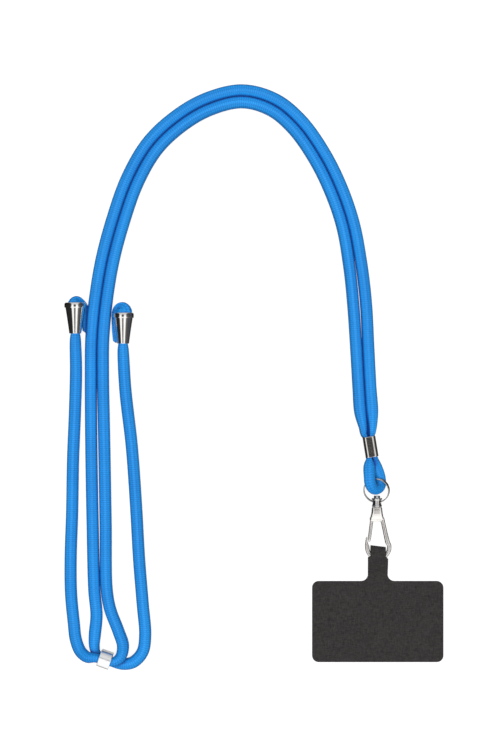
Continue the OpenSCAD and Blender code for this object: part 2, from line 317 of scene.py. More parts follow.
def shadeSoftly(piece, degrees=35):
    piece.data.polygons.foreach_set("use_smooth", [True] * len(piece.data.polygons))
    b = bmesh.new()
    b.from_mesh(piece.data)
    for edge in b.edges:
        if len(edge.link_faces) == 2:
            edge.smooth = edge.calc_face_angle(0) < math.radians(degrees)
    b.to_mesh(piece.data)
    b.free()
    return piece


# closes a stack of equal rings into a skin; loop joins the last ring to the first
def skin(rings, loop=False, caps=True):
    sides, rows = len(rings[0]), len(rings)
    points = [p for ring in rings for p in ring]
    faces = []
    for i in range(rows if loop else rows - 1):
        a, b = i * sides, ((i + 1) % rows) * sides
        for k in range(sides):
            n = (k + 1) % sides
            faces.append((a + k, a + n, b + n, b + k))
    if caps and not loop:
        faces.append(tuple(range(sides))[::-1])
        faces.append(tuple((rows - 1) * sides + k for k in range(sides)))
    return points, faces


# turns a closed profile of (radius, height) about an axis along +Y
def turned(name, profile, finish, centre, steps):
    rings = []
    for k in range(steps):
        a = 2 * math.pi * k / steps
        rings.append([(centre[0] + r * math.cos(a), centre[1] + h, centre[2] + r * math.sin(a))
                      for r, h in profile])
    points, faces = skin(rings, loop=True, caps=False)
    return outward(newPiece(name, points, faces, finish))


# softens the corners of an open outline with short arcs
def rounded(outline, radius, steps):
    result = [outline[0]]
    for last, corner, following in zip(outline, outline[1:], outline[2:]):
        p = np.array(corner, float)
        before, after = np.array(last) - p, np.array(following) - p
        reach = min(radius, np.linalg.norm(before) / 2.1, np.linalg.norm(after) / 2.1)
        a = p + before / np.linalg.norm(before) * reach
        b = p + after / np.linalg.norm(after) * reach
        for t in np.linspace(0, 1, steps + 1):
            result.append(tuple((1 - t) ** 2 * a + 2 * t * (1 - t) * p + t * t * b))
    return result + [outline[-1]]


# the cord: one route, from inside the left bell to inside the right one
cordSize = {
    "radius": 2.75, "gap": -0.06, "lie": 2.8,  # lie: height of its middle on the table
    "ringStep": 0.95, "sides": 50, "rib": 0.045, "tip": 1.4,
    "bell": 5.4, "plug": 2.1, "mouth": 3.6,  # height of the bells, and its size inside them
    # where both strands draw together above the crimp: x, y, their offset and half width
    "gather": (-4.75, 89.2, 2.12, 2.1),
    "pleats": ((5, 0.42), (8, 0.34)),  # folds where it is squeezed: count and depth
    "shadow": 1.3, "strandApart": 14.0,  # reach of the painted contact shade, and how far along the cord another strand begins
    "fold": (7.0, 25.0, 3.0), "foldPasses": 7,  # the stretch over each bell that is evened out
}

# each row: x, y, and how much wider the gap between the strands is
midLine = [(-126.6, 15, 0.2), (-127.2, 45, 0.5), (-127.8, 80, 0.5), (-128.2, 112, 0.1),
           (-128, 130, 0), (-126.4, 147, 0), (-123.4, 165, 0), (-118.6, 183, 0),
           (-112, 201.5, 0), (-103, 217, 0), (-91.5, 228, 0), (-78, 236, 0), (-62, 239.8, 0),
           (-48, 236, 0), (-37, 227, 0), (-27, 213, 0), (-19.5, 198, 0), (-13.8, 181.5, 0),
           (-10.4, 163, 0.2), (-8.4, 145, 0.4), (-7.2, 125, 0.1), (-6.2, 107, 0), (-5.4, 96, 0)]

c = cordSize["radius"]
lie = cordSize["lie"]
axis, plug, mouth = cordSize["bell"], cordSize["plug"], cordSize["mouth"]
# each row: x, y, z, half width, half height
leftEnd = [(-133.4, 132, 1.5, 1.3, 1.4), (-133.4, 139, 1.4, 1.3, 1.3),
           (-132.8, 142.6, 1.1, 1.2, 1), (-133.4, 144.5, 1.7, 1, 1.1),
           (-136.3, 147.1, 3.8, 1.5, 1.4), (-138.3, 148.1, 5.2, 2.5, 1.7),
           (-138.7, 147, 5.6, 3.3, 2.2),
           (-137.9, 144.2, axis, mouth, 3.0), (-137.9, 138, axis, plug, plug),
           (-137.9, 131.6, axis, plug, plug), (-137.9, 129, 5.2, 2.5, 2.5)]
leftTail = [(-137.7, 115, 3.5, c, c), (-138.2, 97, lie, c, c), (-139.1, 74, lie, c, c),
            (-139.5, 51, lie, c, c), (-140.2, 28, lie, c, c), (-140, 13, lie, c, c),
            (-138.8, 0, lie, c, c), (-137.8, -8, 3, c, c), (-135.6, -13.2, 4, c, c),
            (-132.2, -15.6, 6.2, 2.6, 2.6)]
overKeeper = [(-128.6, -15.7, 7.7, 2.1, 2.1), (-120.3, -17.4, 7.7, 2.1, 2.1)]
innerRise = [(-117.2, -15.4, 6.8, 2.5, 2.5), (-116.2, -10.6, 4.6, c, c), (-118.4, -4, 3.1, c, c),
             (-122.2, 6, lie, c, c)]
bight = [(-4.3, 71.4, 6.5, 2.6, 2.6), (-4.3, 67, 8.3, 2.6, 2.25), (-3.9, 63.4, 8.2, 2.6, 2.25),
         (-2.4, 61, 6.4, 2.5, 2.4), (-0.4, 60.7, 4.4, 2.4, 2.4), (1.2, 62.2, 2.5, 2.4, 2.3),
         (1, 65.6, 2.4, 2.6, 2.3), (-0.6, 70.6, 2.7, 2.6, 2.5)]
outerFall = [(-128.4, 3, lie, c, c), (-129.2, -6, lie, c, c), (-129.4, -11.2, 2.9, 2.4, 2.5)]
underKeeper = [(-128.3, -14.6, 3.1, 2.1, 2.4), (-120.6, -18.5, 3.1, 2.1, 2.4)]
rightTail = [(-116.6, -19.2, lie, 2.6, c), (-111.6, -18.2, lie, c, c), (-107.4, -13.6, lie, c, c),
             (-106.2, -6, lie, c, c), (-107.3, 8, lie, c, c), (-109, 29, lie, c, c),
             (-110.3, 52, lie, c, c), (-112.3, 80, lie, c, c), (-115.2, 106, 3.5, c, c)]
rightEnd = [(-116.1, 124.4, 5.2, 2.5, 2.5), (-116.1, 127, axis, plug, plug),
            (-116.1, 133.4, axis, plug, plug), (-116.1, 139.5, axis, mouth, 3.0),
            (-115, 143.3, 5.6, 3.3, 1.9), (-117.4, 144.7, 3.6, 1.8, 1.4),
            (-120.4, 142.2, 1.4, 1.1, 1.1), (-120.6, 139.4, 1.1, 1, 1),
            (-120.2, 134.4, 1.4, 1.3, 1.3), (-119.6, 127.4, 1.5, 1.3, 1.4)]

crimpSize = {"middle": (-3.65, 80.05, 3.9), "turn": 9.2, "length": 9.4, "wall": 0.5,
             "width": 5.04, "height": 7.6, "crown": 3.8,
             "strandWidth": 1.2, "strandHeight": 3.0, "spread": 0.42, "fit": 0.08}


def strandRows(side):
    line = np.array(midLine, float)
    rows = []
    for i, p in enumerate(line):
        d = line[min(i + 1, len(line) - 1)][:2] - line[max(i - 1, 0)][:2]
        d /= np.linalg.norm(d)
        off = side * (2 * c + cordSize["gap"] + p[2]) / 2
        rows.append((p[0] - off * d[1], p[1] + off * d[0], lie, c, c))
    x, y, offset, half = cordSize["gather"]
    rows.append((x + side * offset, y, lie + 0.4, half, c + 0.1))
    return rows


def crimpRows(side):
    turn = math.radians(crimpSize["turn"])
    down, over = (math.sin(turn), -math.cos(turn)), (math.cos(turn), math.sin(turn))
    w, h = crimpSize["strandWidth"], crimpSize["strandHeight"]
    rows = []
    for s in (-0.62, -0.5, 0.5):
        wide = w + crimpSize["spread"] if s < -0.6 else w  # still spread before the crimp
        run, step = s * crimpSize["length"], side * (wide + crimpSize["fit"] / 2)
        x = crimpSize["middle"][0] + run * down[0] + step * over[0]
        y = crimpSize["middle"][1] + run * down[1] + step * over[1]
        z = crimpSize["middle"][2]
        rows.append((x, y, z - 0.3, wide, h - 0.3) if s < -0.6 else (x, y, z, w, h))
    return rows


cordRoute = (leftEnd + leftTail + overKeeper + innerRise + strandRows(-1) + crimpRows(-1) + bight
             + crimpRows(1)[::-1] + strandRows(1)[::-1] + outerFall + underKeeper + rightTail
             + rightEnd)


# a smooth curve through every row, evenly stepped
def throughRows(rows, step):
    rows = np.array(rows, float)
    ends = np.vstack([2 * rows[0] - rows[1], rows, 2 * rows[-1] - rows[-2]])
    fine = []
    for i in range(1, len(ends) - 2):
        p0, p1, p2, p3 = ends[i - 1:i + 3]
        t0 = 0.0
        t1 = t0 + np.linalg.norm(p1[:3] - p0[:3]) ** 0.5
        t2 = t1 + np.linalg.norm(p2[:3] - p1[:3]) ** 0.5
        t3 = t2 + np.linalg.norm(p3[:3] - p2[:3]) ** 0.5
        for t in np.linspace(t1, t2, 16, endpoint=False):
            a1 = (t1 - t) / (t1 - t0) * p0 + (t - t0) / (t1 - t0) * p1
            a2 = (t2 - t) / (t2 - t1) * p1 + (t - t1) / (t2 - t1) * p2
            a3 = (t3 - t) / (t3 - t2) * p2 + (t - t2) / (t3 - t2) * p3
            b1 = (t2 - t) / (t2 - t0) * a1 + (t - t0) / (t2 - t0) * a2
            b2 = (t3 - t) / (t3 - t1) * a2 + (t - t1) / (t3 - t1) * a3
            fine.append((t2 - t) / (t2 - t1) * b1 + (t - t1) / (t2 - t1) * b2)
    fine.append(rows[-1])
    fine = np.array(fine)
    run = np.concatenate([[0], np.cumsum(np.linalg.norm(np.diff(fine[:, :3], axis=0), axis=1))])
    at = np.linspace(0, run[-1], int(run[-1] / step) + 1)
    return np.stack([np.interp(at, run, fine[:, k]) for k in range(fine.shape[1])], axis=1), at


# how close each point lies to another strand: 1 where they touch, which sets the painted contact shade
def paintedContactShadeOf(rings, places, run):
    close = np.zeros(rings.shape[:2])
    for i, ring in enumerate(rings):
        others = places[np.abs(run - run[i]) > cordSize["strandApart"]]
        away = np.linalg.norm(ring[:, None] - others[None], axis=2).min(axis=1)
        close[i] = np.clip(1 - (away - c) / cordSize["shadow"], 0, 1)
    return close


def makeCord():
    line, run = throughRows(cordRoute, cordSize["ringStep"])
    places = line[:, :3]
    heading = np.gradient(places, axis=0)
    heading /= np.linalg.norm(heading, axis=1)[:, None]
    side = np.cross(up, heading)
    side /= np.linalg.norm(side, axis=1)[:, None]
    lift = np.cross(heading, side)
    sides, columns = cordSize["sides"], braidLook["columns"]
    angle = 2 * math.pi * (np.arange(sides) / sides)
    rib = cordSize["rib"] * np.cos(angle * columns)
    squeezed = np.clip(1 - np.minimum(line[:, 3], line[:, 4]) / c, 0, 1)
    pleat = np.convolve(squeezed, np.ones(11) / 11, mode="same")
    fromEnd = np.minimum(run, run[-1] - run)
    close = np.sqrt(np.clip(1 - (1 - np.clip(fromEnd / cordSize["tip"], 0.0, 1)) ** 2, 0.02, 1))
    (many, deep), (more, shallow) = cordSize["pleats"]
    rings = []
    for i in range(len(line)):
        folds = pleat[i] * (deep * np.cos(many * angle + 0.7)
                            + shallow * np.cos(more * angle + run[i] * 0.05))
        w = (line[i, 3] + rib + folds) * close[i]
        h = (line[i, 4] + rib + folds) * close[i]
        rings.append(places[i] + (w * np.cos(angle))[:, None] * side[i]
                     + (h * np.sin(angle))[:, None] * lift[i])
    rings = np.array(rings)
    first, last, blend = cordSize["fold"]
    fold = np.clip((fromEnd - first) / blend, 0, 1) * np.clip((last - fromEnd) / blend, 0, 1)
    for _ in range(cordSize["foldPasses"]):
        rings[1:-1] += fold[1:-1, None, None] * (rings[:-2] + rings[2:] - 2 * rings[1:-1]) / 4
    places = rings.mean(axis=1)
    points, faces = skin(rings)
    piece = newPiece("braided_cord", points, faces, "braid")
    # the painted contact shade, kept on each point for the braid's colour
    crease = piece.data.attributes.new("crease", "FLOAT", "POINT")
    crease.data.foreach_set("value", paintedContactShadeOf(rings, places, run).ravel())
    layer = piece.data.uv_layers.new(name="sheath")
    coords = np.zeros((len(piece.data.loops), 2))
    for face in piece.data.polygons:
        if face.loop_total != 4:
            continue
        columnsHit = [v % sides for v in face.vertices]
        wraps = max(columnsHit) - min(columnsHit) > sides / 2
        for loop, v, k in zip(face.loop_indices, face.vertices, columnsHit):
            coords[loop] = (run[v // sides], (k + (sides if wraps and k == 0 else 0)) / sides)
    layer.data.foreach_set("uv", coords.ravel())
    length = np.linalg.norm(np.diff(places, axis=0), axis=1).sum()
    return piece, places, float(length)


cord, cordPath, cordLength = makeCord()
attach(cord, "cordset")
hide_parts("cord")
print("cord made, mm long:", round(cordLength))


# a tube with an oval outline, along its own Y; crown above 2 makes the oval squarer,
# and roof folds its top into two facets: crest, both slopes, softness
def ovalTube(name, size, finish, roof=None):
    steps, lip = 96, 0.14
    width, height, wall, crown = size["width"], size["height"], size["wall"], size["crown"]

    def outline(grow):
        r = width / 2 + grow
        half = (height - width) / 2
        ring = []
        for k in range(steps):
            a = 2 * math.pi * (k + 0.5) / steps
            ca, sa = math.cos(a), math.sin(a)
            x = math.copysign(abs(ca) ** (2 / crown), ca) * r
            z = math.copysign(abs(sa) ** (2 / crown) * r + half, sa)
            if roof and z > 0:
                crest, low, high, drop = roof
                z -= math.hypot(low * (x - crest), drop) if x < crest else math.hypot(
                    high * (x - crest), drop)
            ring.append((x, z))
        return ring

    half = size["length"] / 2
    stations = [(-half, wall / 2 - lip / 2), (-half + lip * 0.3, wall - lip * 0.3), (-half + lip, wall),
                (-half + 3 * lip, wall), (0, wall), (half - 3 * lip, wall), (half - lip, wall),
                (half - lip * 0.3, wall - lip * 0.3), (half, wall / 2 + lip / 2),
                (half, wall / 2 - lip / 2), (half - lip * 0.3, lip * 0.3), (half - lip, 0),
                (-half + lip, 0), (-half + lip * 0.3, lip * 0.3)]
    spin, middle = Matrix.Rotation(math.radians(size["turn"]), 4, "Z"), Vector(size["middle"])
    rings = []
    for y, grow in stations:
        rings.append([spin @ Vector((x, y, z)) + middle for x, z in outline(grow)])
    points, faces = skin(rings, loop=True, caps=False)
    return shadeSoftly(outward(newPiece(name, points, faces, finish)), 50)


crimp = ovalTube("oval_crimp", crimpSize, "smoked")
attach(crimp, "cordset")
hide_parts("ring_crimp")

keeperSize = {"middle": (-124.3, -16.6, 5.6), "turn": -19.7 + 90, "length": 5.6, "wall": 0.5,
              "width": 6.7, "height": 10.1, "crown": 3.0,
              "roof": (0.75, 0.29, 0.22, 0.03)}
keeper = ovalTube("keeper_sleeve", keeperSize, "satin", keeperSize["roof"])
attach(keeper, "keeper")
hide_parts("keeper_band")
print("crimp and keeper made")


# the two bells: a flared cup with a stepped lip
bellSize = {"length": 14.0, "lip": 10.0, "throat": 5.5, "wall": 0.5, "lipLength": 2.4, "step": 0.5,
            "left": (-137.9, 131.6, 5.4), "right": (-116.1, 127.0, 5.4)}


def bellProfile():
    r0, r1 = bellSize["throat"] / 2, bellSize["lip"] / 2
    long, wall, step = bellSize["length"], bellSize["wall"], bellSize["step"]
    shoulder = long - bellSize["lipLength"]
    flare = [(r0 + (r1 - step - r0) * (0.88 * t + 0.12 * t * t), shoulder * t)
             for t in np.linspace(0.04, 0.985, 14)]
    outside = [(r0 - 0.05, 0.0), (r0 + 0.04, 0.16)] + flare + [
        (r1 - step + 0.02, shoulder), (r1 - 0.1, shoulder + 0.12), (r1, shoulder + 0.3),
        (r1 + 0.02, shoulder + 1.2), (r1, long - 0.8), (r1 - 0.08, long - 0.45),
        (r1 - 0.24, long - 0.16), (r1 - 0.5, long)]
    inside = [(r1 - step - wall + 0.16, long), (r1 - step - wall, long - 0.2),
              (r1 - step - wall, shoulder)]
    inside += [(r - wall, h) for r, h in flare[::-1]] + [(r0 - wall, 0.1), (r0 - wall + 0.08, 0.0)]
    return outside + inside


for name, node, throat in (("left_bell", "left_cone", bellSize["left"]),
                           ("right_bell", "right_cone", bellSize["right"])):
    bell = shadeSoftly(turned(name, bellProfile(), "plate", throat, 120), 42)
    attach(bell, "cordset")
    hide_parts(node)
print("bells made")


# the split ring: two turns of flat wire, with a jog from one to the other
ringSize = {"middle": (-0.8, 60.15, 4.13), "lean": (16.0, -12.0), "radius": 5.75,
            "width": 1.4, "turn": 0.56, "room": 0.02, "corner": 0.262,
            "start": 150.0, "jog": 16.0}  # degrees


# a tree that sweeps a flat wire with soft corners along the edges it is given
def flatWireTree():
    tree = bpy.data.node_groups.new("flatWire", "GeometryNodeTree")
    face = tree.interface
    face.new_socket("Edges", in_out="INPUT", socket_type="NodeSocketGeometry")
    for label, value in (("Wire Width", 0.0014), ("Wire Thickness", 0.0006), ("Corner", 0.0001)):
        face.new_socket(label, in_out="INPUT", socket_type="NodeSocketFloat").default_value = value
    face.new_socket("Finish", in_out="INPUT", socket_type="NodeSocketMaterial")
    face.new_socket("Mesh", in_out="OUTPUT", socket_type="NodeSocketGeometry")
    put, join = tree.nodes.new, tree.links.new
    source, result = put("NodeGroupInput"), put("NodeGroupOutput")
    line = put("GeometryNodeMeshToCurve")
    section = put("GeometryNodeCurvePrimitiveQuadrilateral")
    soften = put("GeometryNodeFilletCurve")
    soften.mode = "POLY"
    soften.inputs["Count"].default_value = 5
    sweep, realize = put("GeometryNodeCurveToMesh"), put("GeometryNodeRealizeInstances")
    paint = put("GeometryNodeSetMaterial")
    sweep.inputs["Fill Caps"].default_value = True
    join(source.outputs["Wire Width"], section.inputs["Width"])
    join(source.outputs["Wire Thickness"], section.inputs["Height"])
    join(section.outputs[0], soften.inputs["Curve"])
    join(source.outputs["Corner"], soften.inputs["Radius"])
    join(source.outputs["Edges"], line.inputs["Mesh"])
    join(line.outputs[0], sweep.inputs["Curve"])
    join(soften.outputs[0], sweep.inputs["Profile Curve"])
    join(sweep.outputs[0], realize.inputs[0])
    join(realize.outputs[0], paint.inputs["Geometry"])
    join(source.outputs["Finish"], paint.inputs["Material"])
    join(paint.outputs[0], result.inputs[0])
    return tree


def growWire(name, path, tree, inputs, finish):
    mesh = bpy.data.meshes.new(name)
    mesh.from_pydata([tuple(p) for p in path], [(i, i + 1) for i in range(len(path) - 1)], [])
    piece = bpy.data.objects.new(name, mesh)
    bpy.context.scene.collection.objects.link(piece)
    grow = piece.modifiers.new("grow", "NODES")
    grow.node_group = tree
    ids = {s.name: s.identifier for s in tree.interface.items_tree if s.in_out == "INPUT"}
    for label, value in inputs.items():
        grow[ids[label]] = value
    grow[ids["Finish"]] = finishes[finish]
    return piece


def ringPath():
    lean = (Matrix.Rotation(math.radians(ringSize["lean"][1]), 4, "Y")
            @ Matrix.Rotation(math.radians(ringSize["lean"][0]), 4, "X"))
    path, jog, half = [], ringSize["jog"], ringSize["turn"] / 2
    start, stop = ringSize["start"] + jog / 2 + 1, ringSize["start"] + 720 - jog / 2 - 1
    for angle in np.linspace(start, stop, 240):
        climb = np.clip((angle - (ringSize["start"] + 360 - jog / 2)) / jog, 0, 1)
        z = -half + 2 * half * climb * climb * (3 - 2 * climb)
        a = math.radians(angle)
        flat = Vector((ringSize["radius"] * math.cos(a), ringSize["radius"] * math.sin(a), z))
        path.append((lean @ flat + Vector(ringSize["middle"])) * mm)
    return path


ring = growWire("split_ring_coil", ringPath(), flatWireTree(),
                {"Wire Width": (ringSize["turn"] - ringSize["room"]) * mm,
                 "Wire Thickness": ringSize["width"] * mm, "Corner": ringSize["corner"] * mm}, "wire")
ring = shadeSoftly(outward(settle(ring)), 40)
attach(ring, "ring")
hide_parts("split_ring")
print("split ring made")


# the hook, its gate and its eye; square makes a bar's section squarer than an ellipse
hookSize = {
    "x": -0.5, "z": 2.65, "thick": 2.4, "bar": 1.95, "barRadius": 5.06, "bend": (0.6, 34.2),
    "square": 3.4, "plateSquare": 4.6, "voxel": 0.1, "smoothing": 12,
    # the plate between bar and collar: y, half width, half thickness
    "plate": [(52.45, 2.15, 1.95), (52.2, 2.36, 2.2), (51.0, 2.46, 2.26), (49.4, 2.66, 2.05),
              (48.2, 2.92, 1.75), (47.2, 3.16, 1.4), (46.4, 3.32, 1.2), (46.0, 3.2, 1.0)],
    "slot": ((-4.2, 43.5, -0.74), (-0.9, 48.4, 0.74)),  # room for the gate
    "bore": (51.5, 1.17, 4.2),  # room for the swivel's stem: y, radius, length
}


# one point of a soft square: a circle at power 2, nearly a square at power 5
def softSquare(angle, power, w, h):
    ca, sa = math.cos(angle), math.sin(angle)
    return (math.copysign(abs(ca) ** (2 / power), ca) * w,
            math.copysign(abs(sa) ** (2 / power), sa) * h)


# a bar along a path of (x, y, half width, half thickness), with a soft square section
def softBar(rows, sides=28):
    rows = np.array(rows, float)
    heading = np.gradient(rows[:, :2], axis=0)
    heading /= np.linalg.norm(heading, axis=1)[:, None]
    rings = []
    for (x, y, w, h), d in zip(rows, heading):
        ring = []
        for k in range(sides):
            u, v = softSquare(2 * math.pi * k / sides, hookSize["square"], w, h)
            ring.append((hookSize["x"] + x - d[1] * u, y + d[0] * u, hookSize["z"] + v))
        rings.append(ring)
    return skin(rings)


# joins overlapping solids into one skin, softens it, and keeps its normals outward
def fused(name, solids, finish, voxel, smoothing):
    points, faces = [], []
    for p, f in solids:
        base = len(points)
        points += p
        faces += [tuple(base + v for v in face) for face in f]
    piece = newPiece(name, points, faces, finish)
    b = bmesh.new()
    b.from_mesh(piece.data)
    bmesh.ops.recalc_face_normals(b, faces=b.faces)
    b.to_mesh(piece.data)
    b.free()
    weld = piece.modifiers.new("weld", "REMESH")
    weld.mode, weld.voxel_size = "VOXEL", voxel * mm
    soft = piece.modifiers.new("soft", "SMOOTH")
    soft.factor, soft.iterations = 0.5, smoothing
    settle(piece)
    piece.data.materials.clear()
    piece.data.materials.append(finishes[finish])
    return piece


def cutAway(piece, cutter):
    knife = piece.modifiers.new("knife", "BOOLEAN")
    knife.operation, knife.solver, knife.object = "DIFFERENCE", "EXACT", cutter
    settle(piece)
    bpy.data.objects.remove(cutter)
    return piece


def boxCutter(low, high):
    x, y, z = zip(low, high)
    points = [(x[i], y[j], z[k]) for i in (0, 1) for j in (0, 1) for k in (0, 1)]
    faces = [(0, 1, 3, 2), (4, 6, 7, 5), (0, 4, 5, 1), (2, 3, 7, 6), (0, 2, 6, 4), (1, 5, 7, 3)]
    return outward(newPiece("cutter", points, faces, "casting", smooth=False))


def rodCutter(centre, axis, radius, length, sides=64):
    axis = Vector(axis).normalized()
    u = axis.orthogonal().normalized()
    v = axis.cross(u)
    rings = []
    for s in (-length / 2, length / 2):
        rings.append([Vector(centre) + axis * s + (u * math.cos(a) + v * math.sin(a)) * radius
                      for a in np.linspace(0, 2 * math.pi, sides, endpoint=False)])
    points, faces = skin(rings)
    return outward(newPiece("cutter", points, faces, "casting"))


def makeHook():
    bx, by = hookSize["bend"]
    r, bar = hookSize["barRadius"], hookSize["bar"] / 2
    thick = hookSize["thick"] / 2
    frameBar = [(2.35, 47.4, 1.0, thick), (2.5, 46.6, 1.0, thick), (3.1, 44.0, 0.98, thick)]
    frameBar += [(3.85, 40.5, 1.02, thick), (4.75, 36.6, 1.12, thick)]
    frameBar += [(bx + r * math.cos(a), by + r * math.sin(a), bar, thick * 0.94)
                 for a in np.radians(np.linspace(10, -182, 34))]
    frameBar += [(-4.72, 35.6, 0.74, thick * 0.9), (-4.84, 36.9, 0.46, thick * 0.78),
                 (-4.74, 38.1, 0.36, thick * 0.7), (-4.58, 38.9, 0.2, thick * 0.6)]
    x, z = hookSize["x"], hookSize["z"]
    plate = []
    for y, w, h in hookSize["plate"]:
        ring = [softSquare(2 * math.pi * k / 40, hookSize["plateSquare"], w, h) for k in range(40)]
        plate.append([(x + u, y, z + v) for u, v in ring])
    piece = fused("hook_casting", [softBar(frameBar), skin(plate)], "casting", hookSize["voxel"],
                  hookSize["smoothing"])
    low, high = hookSize["slot"]
    cutAway(piece, boxCutter((x + low[0], low[1], z + low[2]), (x + high[0], high[1], z + high[2])))
    y, radius, length = hookSize["bore"]
    cutAway(piece, rodCutter((x, y, z), (0, 1, 0), radius, length))
    return shadeSoftly(piece, 45)


hook = makeHook()
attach(hook, "hook")
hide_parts("hook_body")


gateSize = {
    "pivot": (-2.3, 47.1), "tip": (-3.62, 36.7), "knuckle": 1.08, "knuckleLong": 1.3, "bore": 0.52,
    "voxel": 0.09, "smoothing": 3,
    # share of the way from pivot to tip, half width, half thickness
    "rows": [(0.02, 0.72, 0.62), (0.08, 0.76, 0.64), (0.14, 0.76, 0.66), (0.18, 0.76, 0.92),
             (0.4, 0.78, 0.98), (0.7, 0.76, 0.96), (0.88, 0.72, 0.92), (0.96, 0.6, 0.8),
             (1.0, 0.42, 0.6)],
}


def makeGate():
    (px, py), (tx, ty) = gateSize["pivot"], gateSize["tip"]
    rows = [(px + (tx - px) * t, py + (ty - py) * t, w, h) for t, w, h in gateSize["rows"]]
    middle = (hookSize["x"] + px, py, hookSize["z"])
    knuckle = rodCutter(middle, (0, 0, 1), gateSize["knuckle"], gateSize["knuckleLong"], 40)
    solid = ([tuple(v.co / mm) for v in knuckle.data.vertices],
             [tuple(p.vertices) for p in knuckle.data.polygons])
    bpy.data.objects.remove(knuckle)
    piece = fused("spring_gate", [softBar(rows), solid], "casting", gateSize["voxel"],
                  gateSize["smoothing"])
    cutAway(piece, rodCutter(middle, (0, 0, 1), gateSize["bore"], 4))
    return shadeSoftly(piece, 45)


gate = makeGate()
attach(gate, "gate")
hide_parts("gate")

eyeSize = {
    "hole": (-0.48, 54.86, 2.65), "holeRadius": 1.3, "turn": -12.0,
    # half of its profile: radius and y, from the top of the knob to the stem's foot
    "profile": [(0.0, 57.7), (1.2, 57.7), (1.42, 57.5), (1.45, 57.2), (1.42, 56.75), (1.55, 56.6),
                (2.3, 56.6), (2.42, 56.45), (2.42, 55.95), (2.3, 55.8), (2.14, 55.7), (2.1, 55.4),
                (2.1, 53.5), (2.2, 53.3), (2.36, 53.2), (2.36, 52.8), (2.25, 52.68), (1.1, 52.66),
                (1.1, 50.6), (0.0, 50.6)],
}


def makeEye():
    profile = rounded(eyeSize["profile"], 0.1, 3)
    piece = turned("swivel_eye_barrel", profile, "plate", (hookSize["x"], 0, hookSize["z"]), 72)
    turn = math.radians(-eyeSize["turn"])
    cutAway(piece, rodCutter(eyeSize["hole"], (math.cos(turn), 0, math.sin(turn)),
                             eyeSize["holeRadius"], 8))
    return shadeSoftly(piece, 38)


eye = makeEye()
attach(eye, "eye")
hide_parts("swivel_eye")
for node in ("gate_pin", "gate_spring"):
    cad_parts[node].data.materials.clear()
    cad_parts[node].data.materials.append(finishes["steel"])
print("hook, gate and eye made")


# the tab: one cloth whose neck goes up over the hook's bar and comes back under
tabSize = {
    "width": 60.0, "height": 37.0, "corner": 3.0, "neck": 9.0, "fillet": 3.2, "cloth": 0.55,
    "foldTop": 35.1, "foldSides": (-3.4, 3.45), "slope": 0.12,  # the fold is narrower, and slants
    "foldZone": (6.7, 1.2),  # how far the narrow stretch reaches, and how soon it widens
    "flat": 0.72, "foldMiddle": 2.65, "foldHeight": 4.55,
    # the middle of the cloth in side view, before and after the fold: y, z
    "rise": [(0, 0.72), (17.0, 0.72), (19.0, 0.76), (21.0, 1.0), (23.0, 1.75), (25.0, 2.95),
             (27.0, 4.0), (28.6, 4.5)],
    "under": [(30.0, 0.72), (27.0, 0.66), (24.0, 0.42), (22.0, 0.3), (19.2, 0.28)],
}


# the cloth's middle line in side view, its run, and the run at the middle of the fold
def clothPath():
    top, mid = tabSize["foldHeight"], tabSize["foldMiddle"]
    r = top - mid
    endY = tabSize["foldTop"] - r - tabSize["cloth"] / 2
    bend = [(endY + r * math.sin(a), mid + r * math.cos(a)) for a in np.linspace(0, math.pi, 17)]
    before = tabSize["rise"] + [(30.4, top)]
    pts = np.array(before + bend + tabSize["under"], float)
    run = np.concatenate([[0], np.cumsum(np.linalg.norm(np.diff(pts, axis=0), axis=1))])
    return pts, run, run[len(before) + len(bend) // 2]


# left and right edge of the cloth at a run of s from the middle of the tab
def edgesAt(s, foldRun):
    neck, top, fillet = tabSize["neck"] / 2, tabSize["height"] / 2, tabSize["fillet"]
    if s <= top:
        half = tabSize["width"] / 2
        deep = abs(s) - (top - tabSize["corner"])
        if deep > 0:
            half -= tabSize["corner"] - math.sqrt(max(tabSize["corner"] ** 2 - deep ** 2, 0))
        return -half, half
    if s < top + fillet:
        deep = fillet - (s - top)
        half = neck + fillet - math.sqrt(max(fillet ** 2 - deep ** 2, 0))
        return -half, half
    reach, blend = tabSize["foldZone"]
    near = float(np.clip((reach - abs(s - foldRun)) / blend, 0, 1))
    near = near * near * (3 - 2 * near)
    left, right = tabSize["foldSides"]
    return -neck + (left + neck) * near, neck + (right - neck) * near


